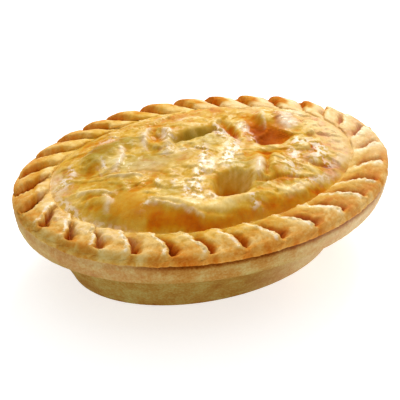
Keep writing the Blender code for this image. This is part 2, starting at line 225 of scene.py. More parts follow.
# Where the lid baked darker, or less than around it, with painted shade in the steam hole and the pocket
# behind it: rows as the lumps have, with an amount for the height
BROWNED_AND_SHADED = (
    # right half
    (0.0285, 0.0005, 0.008, 0.0068, 0, 0.33, 4),
    (0.0242, 0.0015, 0.0038, 0.0058, 0, 0.2, 3),
    (0.0256, 0.0105, 0.0032, 0.0072, 0, 0.4, 4),
    (0.0268, -0.014, 0.0028, 0.006, 0, 0.2, 3),
    (0.015, 0.0088, 0.002, 0.0082, -5, 0.46, 3),
    (0.0132, 0.0112, 0.0008, 0.0036, -15, 0.26, 2),
    (0.009, 0.0078, 0.0008, 0.0022, -15, 0.35, 2),
    (0.0195, 0.004, 0.0014, 0.0045, -15, 0.25, 2),
    (0.0202, -0.011, 0.0032, 0.0011, -10, 0.42, 3),
    (0.0165, -0.018, 0.0008, 0.008, -30, 0.14, 2),
    (0.035, 0.0085, 0.002, 0.0045, -20, 0.24, 3),
    (0.0382, -0.016, 0.0016, 0.0018, 0, 0.4, 2),
    (0.0095, -0.0312, 0.005, 0.0026, 0, 0.1, 3),
    (0.02, -0.0292, 0.008, 0.0012, -8, 0.18, 2),
    (0.038, -0.0248, 0.006, 0.001, -8, 0.2, 2),
    (0.0285, -0.0355, 0.003, 0.0009, 0, 0.35, 2),
    # the steam hole and the pocket behind it, darkened as painted shade, and the middle
    (-0.0003, -0.0243, 0.0054, 0.0044, 25, 0.48, 5),
    (0.001, 0.0106, 0.0098, 0.0026, 3, 0.12, 4),
    (-0.0055, 0.0096, 0.003, 0.0012, 0, 0.22, 3),
    (-0.0133, 0.0155, 0.0022, 0.0026, 0, 0.3, 3),
    # left half, and along the front and the back
    (-0.035, -0.0318, 0.003, 0.0022, -30, 0.14, 3),
    (-0.0362, 0.0148, 0.007, 0.005, 20, 0.1, 5),
    (-0.0262, -0.0352, 0.0115, 0.003, -30, 0.14, 4),
    (-0.0272, -0.0318, 0.0125, 0.004, -34, 0.22, 5),
    (-0.008, -0.0398, 0.016, 0.0022, 0, 0.2, 2),
    (0.0165, -0.0375, 0.009, 0.003, 12, 0.16, 3),
    (-0.04, -0.019, 0.0085, 0.01, -35, 0.14, 4),
    (-0.04, -0.007, 0.0055, 0.0055, 0, 0.06, 3),
    (-0.0425, 0.0068, 0.0025, 0.0025, 0, 0.16, 3),
    (-0.0455, 0.0064, 0.0055, 0.004, 0, 0.08, 3),
    (-0.0275, -0.012, 0.0022, 0.0026, 0, 0.14, 2),
    (-0.0485, -0.012, 0.0028, 0.0048, -15, 0.13, 3),
    (-0.015, 0.029, 0.022, 0.006, 5, 0.14, 3),
    (0.008, 0.0235, 0.014, 0.0055, -5, 0.12, 3),
    (-0.048, 0.014, 0.003, 0.008, -25, 0.1, 3),
    # less browned, partly paler as painted sheen
    (-0.056, 0.012, 0.0035, 0.011, -15, -0.1, 3),
    (-0.008, -0.0345, 0.0125, 0.0038, 0, -0.12, 3),
    (0.049, 0.018, 0.005, 0.009, -35, -0.14, 3),
    (0.05, -0.003, 0.007, 0.015, 0, -0.09, 3),
    (0.0205, -0.0335, 0.0065, 0.0024, 15, -0.12, 3),
    (0.003, -0.008, 0.007, 0.007, 0, -0.08, 3),
    (0.0112, -0.0206, 0.0022, 0.0032, -25, -0.12, 3),
)

# Where the glaze thinned over the filling and the lid stayed a greener gold, and where the pocket under the
# middle fold, the steam hole and a few hollows are darkened to olive as painted shade
GREENER_AND_SHADED = (
    (-0.0362, 0.0148, 0.0074, 0.0054, 20, 0.9, 5),
    (-0.025, 0.0176, 0.0052, 0.0045, 0, 0.8, 4),
    (0.001, 0.0108, 0.0105, 0.0032, 3, 1, 4),
    (-0.022, 0.002, 0.015, 0.007, -10, 0.6, 3),
    (0.004, 0.003, 0.007, 0.0045, 0, 0.45, 3),
    (-0.0465, 0.0062, 0.0055, 0.0036, 0, 0.5, 3),
    (-0.04, -0.009, 0.006, 0.007, 0, 0.4, 3),
    (-0.023, -0.02, 0.004, 0.005, 0, 0.55, 3),
    (0.007, -0.014, 0.005, 0.005, 0, 0.5, 3),
    (0.016, -0.024, 0.0025, 0.004, 0, 0.3, 2),
    (-0.0003, -0.0245, 0.0054, 0.0044, 25, 0.42, 4),
    (-0.0475, -0.022, 0.005, 0.003, -45, 0.6, 3),
    (-0.053, 0.012, 0.0015, 0.005, -10, 0.5, 2),
    (0.0085, -0.029, 0.005, 0.0016, 0, 0.5, 2),
    (0.026, -0.0255, 0.002, 0.001, 0, 0.6, 2),
)

# Where less glaze was brushed on
DRIER = (
    (0.054, 0.003, 0.013, 0.027, 0, 0.45, 2),
    (0.04, -0.028, 0.012, 0.005, 25, 0.3, 3),
    (0.015, 0.032, 0.026, 0.006, -8, 0.3, 3),
    (-0.056, 0.006, 0.007, 0.019, 0, 0.4, 2),
    (-0.008, -0.035, 0.013, 0.004, 0, 0.25, 3),
)

# Where the glaze blistered, with painted glints on the blisters as pale flecks
BLISTERS_AND_GLINTS = (
    # middle
    (-0.015, -0.022, 0.0062, 0.003, 62, 1, 3),
    (-0.0112, -0.018, 0.01, 0.0018, 62, 1, 3),
    (-0.01, -0.0275, 0.004, 0.002, 10, 0.7, 2),
    (-0.018, -0.0265, 0.003, 0.002, 0, 0.8, 2),
    (-0.0018, -0.0035, 0.0062, 0.0014, 60, 0.9, 2),
    (-0.0035, -0.0105, 0.005, 0.003, 60, 0.8, 2),
    (-0.0245, -0.013, 0.003, 0.001, 55, 0.8, 2),
    (-0.0185, -0.014, 0.0045, 0.001, 60, 0.6, 2),
    (-0.0088, 0.0148, 0.0024, 0.005, -15, 0.7, 3),
    (-0.0125, 0.006, 0.0018, 0.0042, -35, 0.6, 2),
    (-0.0055, 0.0018, 0.0038, 0.001, -10, 0.6, 2),
    (0.0032, -0.034, 0.0018, 0.0014, 0, 0.8, 2),
    (0.003, -0.0375, 0.0018, 0.0012, 0, 0.8, 2),
    # right half
    (0.0058, -0.008, 0.007, 0.0022, 60, 0.9, 3),
    (0.0108, -0.003, 0.0065, 0.0026, 60, 0.8, 2),
    (0.0112, 0.0095, 0.0022, 0.007, -15, 0.9, 3),
    (0.0206, 0.009, 0.0024, 0.0034, 0, 0.8, 4),
    (0.0206, 0.001, 0.0016, 0.005, -15, 0.9, 3),
    (0.0238, -0.0235, 0.003, 0.0036, 0, 0.7, 2),
    (0.0292, -0.0162, 0.0022, 0.0034, -20, 0.9, 3),
    (0.0355, -0.01, 0.0045, 0.0034, 0, 0.9, 3),
    (0.0415, -0.015, 0.003, 0.0045, -20, 0.9, 3),
    (0.037, -0.02, 0.004, 0.003, 0, 0.8, 2),
    (0.0395, -0.024, 0.0035, 0.0012, 0, 0.6, 2),
    (0.03, -0.031, 0.007, 0.0012, 8, 0.7, 2),
    # left half
    (-0.0545, 0.006, 0.003, 0.0045, -20, 0.8, 2),
    (-0.057, -0.008, 0.0014, 0.011, 12, 0.5, 3),
    (-0.05, -0.0225, 0.0016, 0.009, 45, 0.3, 3),
    (-0.0495, 0.011, 0.001, 0.0045, -10, 0.8, 2),
    (-0.0378, 0.0065, 0.001, 0.0028, 0, 0.9, 2),
    (-0.032, -0.0236, 0.003, 0.0014, 20, 0.8, 2),
    (-0.03, 0.024, 0.004, 0.002, 10, 0.6, 2),
)

# Where the glaze lies pale and solid, and where painted sheen lies on it: soft spots, and streaks of painted
# highlight along the folds, with rows as the folds have
PALE_AND_SHEEN = (
    (0.0385, 0.0048, 0.0042, 0.0034, 20, 0.6, 3),
    (0.0408, 0.0118, 0.0016, 0.0036, -25, 0.6, 3),
    (0.0206, 0.0095, 0.0022, 0.003, 0, 0.45, 4),
    (-0.0092, 0.014, 0.002, 0.005, -15, 0.4, 3),
    (0.046, -0.0222, 0.005, 0.002, 32, 0.45, 3),
    (0.0365, -0.0296, 0.007, 0.0018, 18, 0.45, 3),
    (0.0215, -0.034, 0.006, 0.0016, 15, 0.35, 3),
    (0.05, 0.018, 0.003, 0.008, -38, 0.35, 3),
    (0.05, -0.003, 0.007, 0.016, 0, 0.25, 3),
    (-0.0565, 0.011, 0.003, 0.01, -15, 0.36, 2),
    (-0.0066, -0.0262, 0.0018, 0.0013, 0, 0.4, 2),
    (0.0337, -0.0224, 0.003, 0.0022, 0, 0.18, 2),
    (-0.024, -0.001, 0.008, 0.005, -10, 0.26, 3),
    (-0.01, 0, 0.006, 0.005, 0, 0.12, 3),
    (-0.05, -0.0225, 0.0016, 0.01, 45, 0.15, 3),
    (0.04, 0.0085, 0.0045, 0.007, -20, 0.6, 4),
    (0.0128, -0.0196, 0.002, 0.0056, -25, 0.32, 3),
    (-0.003, -0.011, 0.003, 0.004, 0, 0.3, 3),
    (0.005, 0.027, 0.02, 0.005, -6, 0.07, 3),
    (0.033, 0.023, 0.012, 0.006, -35, 0.2, 3),
    (-0.0085, -0.0278, 0.003, 0.0022, 0, 0.45, 3),
)
HIGHLIGHT_STREAKS = (
    (-0.0283, 0.015, -0.0272, 0.0095, -0.0375, -0.0008, 1, 0.0012, 0.0009),
    (-0.0395, 0.0068, -0.0412, 0.003, -0.0408, -0.0008, 0.45, 0.0006, 0.0006),
    (-0.0122, 0.0228, -0.0175, 0.0175, -0.0207, 0.008, 0.85, 0.0012, 0.0009),
    (-0.011, 0.011, -0.0125, 0.006, -0.015, 0.003, 0.4, 0.001, 0.0012),
    (-0.045, -0.0112, -0.0428, -0.015, -0.048, -0.019, 0.7, 0.0009, 0.0008),
    (-0.0535, -0.0045, -0.0465, -0.008, -0.0403, -0.013, 0.35, 0.0006, 0.0006),
    (-0.041, -0.0005, -0.035, -0.004, -0.027, -0.007, 0.35, 0.0006, 0.0006),
    (-0.0165, -0.0372, -0.024, -0.03, -0.0345, -0.0232, 0.6, 0.0008, 0.0006),
    (0.016, -0.015, 0.0135, -0.02, 0.0098, -0.0252, 0.65, 0.001, 0.001),
    (0.012, 0.0125, 0.0125, 0.006, 0.0148, 0.001, 0.7, 0.0008, 0.0007),
    (0.028, 0.0045, 0.03, 0.01, 0.0335, 0.017, 0.65, 0.0005, 0.0007),
)

# Where the lid stayed smooth, without wrinkles or flakes
SMOOTH = (
    (-0.04, -0.0205, 0.0095, 0.01, -35, 0.9, 4),
    (-0.025, -0.034, 0.015, 0.005, -30, 0.8, 4),
    (-0.0362, 0.0145, 0.007, 0.0052, 20, 0.7, 4),
    (-0.025, 0.0176, 0.005, 0.0045, 0, 0.7, 4),
    (0.0275, 0.0012, 0.0088, 0.0088, 0, 1, 4),
    (0.001, 0.013, 0.011, 0.006, 0, 0.6, 4),
    (-0.018, -0.001, 0.014, 0.007, -10, 0.4, 3),
    (-0.006, -0.035, 0.013, 0.004, 0, 0.6, 4),
    (0, -0.0242, 0.008, 0.0066, 25, 1, 6),
)

# Where, going right, a change starts and is full, as the cosine of the rim's angle: the seam parts, the case
# gets paler as painted light, and the lid's edge is filled in and painted paler as sheen
SEAM_PARTS = (-0.80, -0.40)
CASE_TO_RIGHT = (-0.1, 0.6)
LID_TO_RIGHT = (0.70, 0.92)

# Stretches of the rim, in strands counterclockwise from +X: where each starts, is full, fades and ends
BACK = (-1.0, 2.0, 12.5, 15.5)
BACK_RIGHT = (-3.5, -1.5, 4.5, 7.0)
LEFT = (11.0, 13.5, 17.0, 19.5)
LEFT_FRONT = (13.0, 14.5, 17.5, 19.5)
FRONT = (17.5, 19.5, 23.0, 24.5)
RIGHT = (21.0, 24.0, 30.5, 31.5)

# The lip's thin layers, and how far up and down the parted seam is darkened, the painted shade of its gap
LIP_LAYER_PITCH = 0.0013
LIP_LAYER_RELIEF = 0.00010
SEAM_SHADE_WIDTH = 0.0010

# Low relief: the front crimps' deeper slots, the fill where the lid's right edge meets the crimp, the crimp's
# dents and the lid's flakes
SLOT_DEPTH = 0.0012
EDGE_FILL = 0.0012
DENT_HEIGHT = 0.00022
FLAKE_HEIGHT = 0.00045

# Thin layers of the lid, dents in the crimp, patches where the lid's glaze pooled, painted paler there as a
# sheen,
# and specks on the rim: (size, lean of their long way in degrees, amount, level in the noise)
FLAKES = ((0.0150, -25.0, 0.45, 3.1), (0.0090, 20.0, 0.33, 11.7), (0.0055, -40.0, 0.22, 23.3))
DENTS = ((0.0062, 30.0, 0.60, 91.3), (0.0031, -50.0, 0.40, 97.9))
PATCHES = ((0.0075, 40.0, 0.35, 41.3), (0.0040, -20.0, 0.35, 57.9), (0.0026, 55.0, 0.25, 73.1))
RIM_SPECKS = ((0.0016, 20.0, 1.0, 5.3),)
LAYER_NARROWING = 1.8

# The pastry's own grain: crumbs as (height, scale), bubbles with a finer froth, and wrinkles with gaps
CRUMBS = ((0.00009, 1300), (0.00015, 520))
BUBBLE_HEIGHT = 0.00026
BUBBLE_SCALE = 430
FROTH_SCALE = 950
WRINKLE_HEIGHT = 0.00026
WRINKLE_SCALE = 240
WRINKLE_WAY = (0.91, 0.42)
WRINKLE_NARROWING = 2.0
WRINKLE_GAP_SCALE = 60
WRINKLE_GAP_PLACE = Vector((5.0, 1.0, 2.0))

# What the mesh's points tell the material, in the order of a ring's rows
ATTRIBUTES = ("bake_and_shade", "glaze", "green_and_shade", "pale_and_sheen", "blister_and_glint")

# Pastry from barely baked to deep brown, glazed and dry, which also shows the painted shade: (how baked and
# shaded, red, green, blue as on a screen)
GLAZED_COLOURS = (
    (0.0, 250, 226, 164),
    (0.24, 238, 202, 116),
    (0.42, 216, 168, 54),
    (0.58, 208, 138, 14),
    (0.80, 200, 102, 4),
    (1.0, 164, 72, 4),
)
DRY_COLOURS = (
    (0.0, 252, 232, 196),
    (0.30, 240, 198, 138),
    (0.52, 222, 152, 80),
    (0.78, 188, 100, 28),
    (1.0, 122, 60, 10),
)
# A greener tint, which also darkens places as painted shade
GREEN_AND_SHADE_TINT = (0.45, 0.555, 0.34, 1.0)
# Colour of the painted glints on the blisters
GLINT_COLOUR = (253, 238, 216)
GAP_COLOUR = (172, 136, 60)
# Colour of pale glaze and of the painted sheen and highlights
PALE_SHEEN_COLOUR = (252, 228, 200)
SPECK_COLOUR = (150, 96, 40)

# The floor and the room
FLOOR_SIZE = 60.0
FLOOR_COLOURS = ((0.0, 216, 216, 215), (1.0, 219, 219, 219))
FLOOR_GLOW = 0.64
ROOM_BRIGHTNESS = 0.54
WHITE = (1.0, 1.0, 1.0, 1.0)
LIGHT_TARGET = Vector((0.0, 0.0, 0.03))

# The camera's place, as azimuth and elevation in degrees from the point it looks at
CAMERA_AZIMUTH = -25.0
CAMERA_ELEVATION = 33.83
CAMERA_DISTANCE = 0.450
CAMERA_TARGET = Vector((-0.00147, 0.00093, 0.0200))
CAMERA_LENS = 104.56
SENSOR_WIDTH = 36.0

# The strands' uneven sizes and wavers are drawn from the first seed. Vector noise takes its offsets from the
# second, and without one it would take them from the clock.
STRAND_SEED = 7
WANDER_SEED = 1
noise.seed_set(WANDER_SEED)


def smooth_step(low, high, value):
    """0 at low and before it, 1 at high and past it, and a smooth change between them."""
    share = np.clip((value - low) / (high - low), 0.0, 1.0)
    return share * share * (3 - 2 * share)


def window(value, starts, full, fades, ends):
    """A smooth rise from starts to full, and a smooth fall from fades to ends."""
    return smooth_step(starts, full, value) * smooth_step(ends, fades, value)


def on_stretch(along, starts, full, fades, ends):
    """1 on a stretch of the rim and 0 off it, for places along the rim that are counted in strands."""
    around = starts + np.mod(along - starts, STRAND_COUNT)
    return window(around, starts, full, fades, ends)


def curve_through(before, start, end, after, share):
    """A point between start and end, on a smooth curve that comes from before and goes on to after."""
    bend = 2 * start - 2 * end + (end - before + after - start) / 2
    lean = 3 * (end - start) - (end - before) - (after - start) / 2
    return start + share * (end - before) / 2 + share**2 * lean + share**3 * bend


def smooth_section(rows, count):
    """Points along a smooth curve through the rows, evenly spaced by its length."""
    rows = np.array(rows)
    padded = np.vstack((2 * rows[0] - rows[1], rows, 2 * rows[-1] - rows[-2]))
    fine = []
    for points in zip(padded, padded[1:], padded[2:], padded[3:]):
        for share in np.linspace(0.0, 1.0, 16, endpoint=False):
            fine.append(curve_through(*points, share))
    fine = np.array(fine + [rows[-1]])
    steps = np.hypot(*np.diff(fine[:, :2], axis=0).T)
    lengths = np.concatenate(([0.0], np.cumsum(steps)))
    wanted = np.linspace(0.0, lengths[-1], count)
    return np.column_stack([np.interp(wanted, lengths, column) for column in fine.T])


def arc_length_angles(count):
    """Angles that part the rim's ellipse into count stretches of one length, and its whole length."""
    steps = 7200
    middles = 2 * np.pi * (np.arange(steps) + 0.5) / steps
    speeds = np.hypot(HALF_LENGTH * np.sin(middles), HALF_WIDTH * np.cos(middles))
    lengths = np.concatenate(([0.0], np.cumsum(speeds))) * 2 * np.pi / steps
    edges = 2 * np.pi * np.arange(steps + 1) / steps
    return np.interp(lengths[-1] * np.arange(count + 1) / count, lengths, edges), lengths[-1]


RIM_ANGLES, RIM_LENGTH = arc_length_angles(STRAND_COUNT * ANGLES_PER_STRAND)


def rim_angle(place):
    """The ellipse angle at a place on the rim, counted in strands from +X."""
    position = np.mod(np.asarray(place) / STRAND_COUNT, 1.0) * (len(RIM_ANGLES) - 1)
    return np.interp(position, np.arange(len(RIM_ANGLES)), RIM_ANGLES)


def rim_points(angle, out):
    """Points at these angles of the rim's ellipse, and this far outside it."""
    return (HALF_LENGTH + out) * np.cos(angle), (HALF_WIDTH + out) * np.sin(angle)


def rim_wobble(angle):
    """The hand-made rim's unevenness: how far it swells out and rises at this angle."""
    count = len(RIM_UNEVEN)
    position = np.mod(np.degrees(angle) - RIM_UNEVEN_START, 360.0) * count / 360.0
    first = np.floor(position).astype(int) % count
    share = (position - np.floor(position))[..., None]
    neighbours = [RIM_UNEVEN[(first + step) % count] for step in (-1, 0, 1, 2)]
    uneven = curve_through(*neighbours, share)
    return uneven[..., 0], uneven[..., 1]


def strand_turn(inset):
    """How many strands the crimp's columns have turned at this inset: the outer end lies further round."""
    pitch = RIM_LENGTH / STRAND_COUNT
    return STRAND_SLANT * (CRIMP_WIDTH - min(inset, CRIMP_WIDTH)) / pitch


def strand_profile(share, flank, crest):
    """Height across one strand: 0 in the furrow, up a rounded flank to the crest, and a steeper drop."""
    rise = np.sin(np.pi / 2 * np.minimum(1.0, share / flank)) ** 1.15
    crown = 0.72 + 0.28 * smooth_step(0.10, crest, share)
    drop = np.cos(np.pi / 2 * np.maximum(0.0, (share - crest) / (1 - crest)) ** 1.6)
    return rise * crown * drop


def distance_share(x, y, middle_x, middle_y, half_length, half_width, turn):
    """How far a point lies from a feature's middle, as a share of its half sizes."""
    cosine = np.cos(np.radians(turn))
    sine = np.sin(np.radians(turn))
    along = cosine * (x - middle_x) + sine * (y - middle_y)
    across = cosine * (y - middle_y) - sine * (x - middle_x)
    return np.hypot(along / half_length, across / half_width)


def spots(x, y, rows):
    """The sum of soft-edged oval spots at these points."""
    total = np.zeros_like(x)
    for *place, amount, edge in rows:
        total += amount * np.exp(-(distance_share(x, y, *place) ** edge))
    return total


def fold_height(x, y, fold):
    """Height of one fold: a ridge along a bent line, with its own width on each side, fading at its ends."""
    start_x, start_y, bend_x, bend_y, end_x, end_y, height, right_width, left_width = fold
    share = np.linspace(0.0, 1.0, FOLD_POINTS)
    line_x = (1 - share) ** 2 * start_x + 2 * share * (1 - share) * bend_x + share**2 * end_x
    line_y = (1 - share) ** 2 * start_y + 2 * share * (1 - share) * bend_y + share**2 * end_y
    away_x = x[..., None] - line_x
    away_y = y[..., None] - line_y
    nearest = np.argmin(away_x**2 + away_y**2, axis=-1)
    ahead_x = np.gradient(line_x)[nearest]
    ahead_y = np.gradient(line_y)[nearest]
    length = np.hypot(ahead_x, ahead_y)
    away_x = np.take_along_axis(away_x, nearest[..., None], -1)[..., 0]
    away_y = np.take_along_axis(away_y, nearest[..., None], -1)[..., 0]
    to_left = (ahead_x * away_y - ahead_y * away_x) / length
    width = np.where(to_left > 0, left_width, right_width)
    past_end = (ahead_x * away_x + ahead_y * away_y) / length
    fade = 1 - np.abs(2 * share[nearest] - 1) ** 4
    return height * fade * np.exp(-(to_left**2) / width**2 - past_end**2 / right_width**2)


def lid_height(x, y):
    """Height of the lid: a dome with a firm shoulder, lumps of filling, folds, and hollows between them."""
    reach = np.minimum(1.0, np.hypot(x / LID_HALF_LENGTH, y / LID_HALF_WIDTH))
    to_back = smooth_step(-0.8, 0.3, y / LID_HALF_WIDTH)
    shoulder = FRONT_SHOULDER + (BACK_SHOULDER - FRONT_SHOULDER) * to_back
    dome = FIRM_SHARE * (1 - reach**shoulder) + ROUND_SHARE * (1 - reach**2)
    relief = spots(x, y, LUMPS) - spots(x, y, HOLLOWS)
    middle_x, middle_y, half_length, half_width, ring_width, rise = RING_FOLD
    from_middle = distance_share(x, y, middle_x, middle_y, half_length, half_width, 0.0)
    relief += rise * np.exp(-(((from_middle - 1) * half_length / ring_width) ** 2))
    for fold in FOLDS:
        relief += fold_height(x, y, fold)
    return LID_EDGE_HEIGHT + DOME_RISE * dome + relief * (1 - reach**10)


def noise_at(x, y, z):
    """Noise at each of a row of points."""
    return np.array([noise.noise(Vector(point)) for point in zip(*np.broadcast_arrays(x, y, z))])


def wander(x, y, reach, size):
    """Points moved about by a slow noise, so that what is drawn through them comes out uneven."""
    moves = np.array([noise.noise_vector(Vector((a / size, b / size, 3.7))) for a, b in zip(x, y)])
    return x + reach * moves[:, 0], y + reach * moves[:, 1]


def layers(x, y, rows):
    """Crisp-edged patches that lie over each other, each row with a size, a lean, an amount and a level."""
    total = np.zeros_like(x)
    for size, lean, amount, level in rows:
        cosine = math.cos(math.radians(lean))
        sine = math.sin(math.radians(lean))
        ways = zip(cosine * x + sine * y, LAYER_NARROWING * (cosine * y - sine * x))
        points = [Vector((along / size, across / size, level)) for along, across in ways]
        field = np.array([noise.noise(point) + 0.28 * noise.noise(point * 3.1) for point in points])
        total += amount * (2 * smooth_step(-0.04, 0.04, field) - 1)
    return total


def ridges(place):
    """Noise with sharp ridges and soft hollows, 0 to 1."""
    return (1 - abs(noise.noise(place))) ** 2


def grain(place, blister_and_glint, crumb, wrinkle):
    """How far the pastry's own grain stands out of the smooth form at a point."""
    crumbs = sum(height * noise.noise(place * scale) for height, scale in CRUMBS)
    bubbles = ridges(place * BUBBLE_SCALE) - 0.6 + 0.6 * noise.noise(place * FROTH_SCALE)
    cosine, sine = WRINKLE_WAY
    across = WRINKLE_NARROWING * (place.x * sine + place.y * cosine)
    strokes = Vector((place.x * cosine - place.y * sine, across, place.z))
    uneven = 0.5 + noise.noise(place * WRINKLE_GAP_SCALE + WRINKLE_GAP_PLACE)
    folds = WRINKLE_HEIGHT * max(0.0, uneven) * (ridges(strokes * WRINKLE_SCALE) - 0.6)
    return crumb * crumbs + BUBBLE_HEIGHT * blister_and_glint * bubbles + wrinkle * folds


def draw_strands():
    """Each strand's size, where it starts, and where its wavering edge is read from the noise."""
    rng = random.Random(STRAND_SEED)
    sizes = [rng.uniform(*STRAND_SIZES) for _ in range(STRAND_COUNT)]
    every_second = 2 * np.arange(len(STRAND_DRIFTS) + 1)
    starts = np.interp(np.arange(STRAND_COUNT), every_second, STRAND_DRIFTS + STRAND_DRIFTS[:1])
    places = [rng.uniform(0.0, 60.0) for _ in range(STRAND_COUNT)]
    return np.column_stack((sizes, starts, places))


def ring(x, y, z, bake_and_shade, glaze, green_and_shade=0.0, pale_and_sheen=0.0, blister_and_glint=0.0, crumb=0.0, wrinkle=0.0):
    """One ring's rows: its points, how baked, glazed, green, pale and blistered each is, and how rough. How
    baked and how green also carry painted shade, how pale carries painted sheen and highlights, and how
    blistered carries painted glints.
    """
    columns = (x, y, z, bake_and_shade, glaze, green_and_shade, pale_and_sheen, blister_and_glint, crumb, wrinkle)
    return np.column_stack([np.broadcast_to(value, x.shape) for value in columns])


def case_ring(inset, height, columns):
    """A ring of the case: its wall, its lip in thin layers, and the seam, pinched shut at the left."""
    angle = rim_angle(STRAND_COUNT * np.arange(columns) / columns + strand_turn(0.0))
    swell, rise = rim_wobble(angle)
    parted = smooth_step(*SEAM_PARTS, np.cos(angle))
    near_seam = smooth_step(SEAM_HEIGHT - 0.0012, SEAM_HEIGHT - 0.0004, height)
    inset = inset - (1 - parted) * near_seam * max(0.0, inset - 0.0005)
    share = height / SEAM_HEIGHT
    on_lip = smooth_step(LIP_UNDERSIDE, LIP_UNDERSIDE + 0.002, height) * smooth_step(0.006, 0.002, inset)
    sway = height / LIP_LAYER_PITCH + 0.35 * np.sin(3 * angle + 1) + 0.2 * np.sin(11 * angle)
    layer = LIP_LAYER_RELIEF * np.sin(2 * np.pi * sway)
    x, y = rim_points(angle, swell * share - inset + layer * on_lip)
    z = height + rise * share**2

    # The parted seam is darkened as the painted shade of its gap
    seam_shade = parted * np.exp(-(((height - SEAM_HEIGHT) / SEAM_SHADE_WIDTH) ** 2))
    streaks = noise_at(x / 0.009, y / 0.009, z / 0.0012)
    marks = smooth_step(0.25, 0.55, noise_at(x / 0.0022, y / 0.0022, z / 0.005))
    # Painted shade darkens and greens the case towards its foot and on its left and front, and painted light
    # pales it on the right
    to_right = smooth_step(*CASE_TO_RIGHT, np.cos(angle))
    on_wall = smooth_step(LIP_UNDERSIDE + 0.0022, LIP_UNDERSIDE - 0.0010, height + 0.0014 * streaks)
    bake_and_shade = 0.45 - 0.04 * (1 - parted) + 0.03 * on_wall * (1 - to_right) + 0.36 * seam_shade
    bake_and_shade = bake_and_shade + 0.07 * streaks + 0.05 * marks - 0.12 * to_right
    bake_and_shade += 0.06 * (1 - share) * (1 - to_right)
    green_and_shade = (0.70 + 0.30 * on_wall) * (1 - 0.45 * to_right)
    pale_and_sheen = (1 - 0.3 * on_wall) * 0.30 * to_right + 0.08 * (1 - parted) * (1 - on_wall)
    crumb = 0.8 * smooth_step(0.0, 0.001, height)
    return ring(x, y, z, bake_and_shade, 0.12 * seam_shade, green_and_shade, pale_and_sheen, crumb=crumb)


def wavering_starts(inset, strands):
    """Where each strand starts at this inset, in strands: its own drift, and a waver along its edge."""
    _, drifts, places = strands.T
    slow = noise_at(inset / 0.0024, places, 1.3)
    quick = noise_at(inset / 0.0009, places, 8.7)
    return drifts + (0.13 * slow + 0.08 * quick)


def crimp_looks(inset, along, part, top, amount, core, patches, specks):
    """The looks of a ring of the crimp: slots darkened with painted shade, a brown rim, and crests that
    crumble, paled with painted highlights.
    """
    back = on_stretch(along, *BACK)
    back_right = on_stretch(along, *BACK_RIGHT)
    left = on_stretch(along, *LEFT)
    left_front = on_stretch(along, *LEFT_FRONT)
    front = on_stretch(along, *FRONT)
    right = on_stretch(along, *RIGHT)
    rim = smooth_step(0.0050, 0.0010, inset)
    inner = smooth_step(0.0065 + 0.0030 * back, 0.0095 + 0.0025 * back, inset)

    # Parts of a strand, from the furrow that it rises out of to the one that it drops into
    slot = smooth_step(0.16, 0.03, part) + smooth_step(0.94, 1.0, part)
    slot_shade = front * smooth_step(0.32, 0.24, part) * window(inset, 0.0040, 0.0058, 0.0090, 0.0112)
    pad = smooth_step(top, 0.10, part) * (1 - back)
    body = window(part, 0.04 + 0.32 * back_right, 0.18 + 0.44 * back_right, 0.95, 1.30) * back * (1 - inner)
    ridge = window(part, top - 0.26, top - 0.12, top, 1.0)
    crest = np.exp(-(((part - top + 0.04) / 0.05) ** 2))
    drop = smooth_step(top, 0.98, part)

    # Painted shade darkens the slots, the steep drops, the slots' dark cores and inner lens at the front, the
    # pads and the back lobes' bodies; painted highlight pales the crests and the ridges on the right
    shade = (0.12 * drop + 0.24 * slot) * (1 - 0.7 * back_right - 0.4 * left_front)
    shade += (0.46 - 0.34 * left_front) * core + 0.07 * pad
    shade += (0.17 + 0.34 * back_right) * body + 0.30 * slot_shade
    shade -= 0.24 * crest * (1 - back) + 0.10 * back + 0.10 * back_right
    shade += right * (0.16 * pad + 0.10 * slot - 0.14 * ridge)
    bake_and_shade = 0.36 + (0.08 + 0.09 * front + 0.02 * right) * rim - 0.04 * left * inner
    bake_and_shade += 0.10 * rim * (1 - right) * specks - 0.05 * left_front * rim
    bake_and_shade = np.minimum(0.92 + 0.06 * front, bake_and_shade + amount * shade) - 0.08 * patches
    glaze = 0.30 + 0.14 * smooth_step(0.004, 0.012, inset) + 0.12 * amount * slot
    glaze += (1 - left) * (1 - right) * 0.20 * smooth_step(0.0125, 0.0150, inset)
    pale_and_sheen = 0.15 * left * inner + 0.35 * back_right * (1 - body)
    pale_and_sheen += 0.05 * right * (1 - back_right) * (1 - slot)
    # The crests' share of the blister mark paints highlights on them as pale flecks
    blister_and_glint = amount * (1 - slot) * (0.80 * crest * (1 - back) + 0.30 * left * inner)
    crumb = (1.2 + 2.6 * crest + smooth_step(0.010, 0.0125, inset)) * (1 - 0.7 * back)
    green_and_shade = 0.50 * left_front * rim
    return {"bake_and_shade": bake_and_shade, "glaze": glaze, "green_and_shade": green_and_shade, "pale_and_sheen": pale_and_sheen, "blister_and_glint": blister_and_glint, "crumb": crumb}


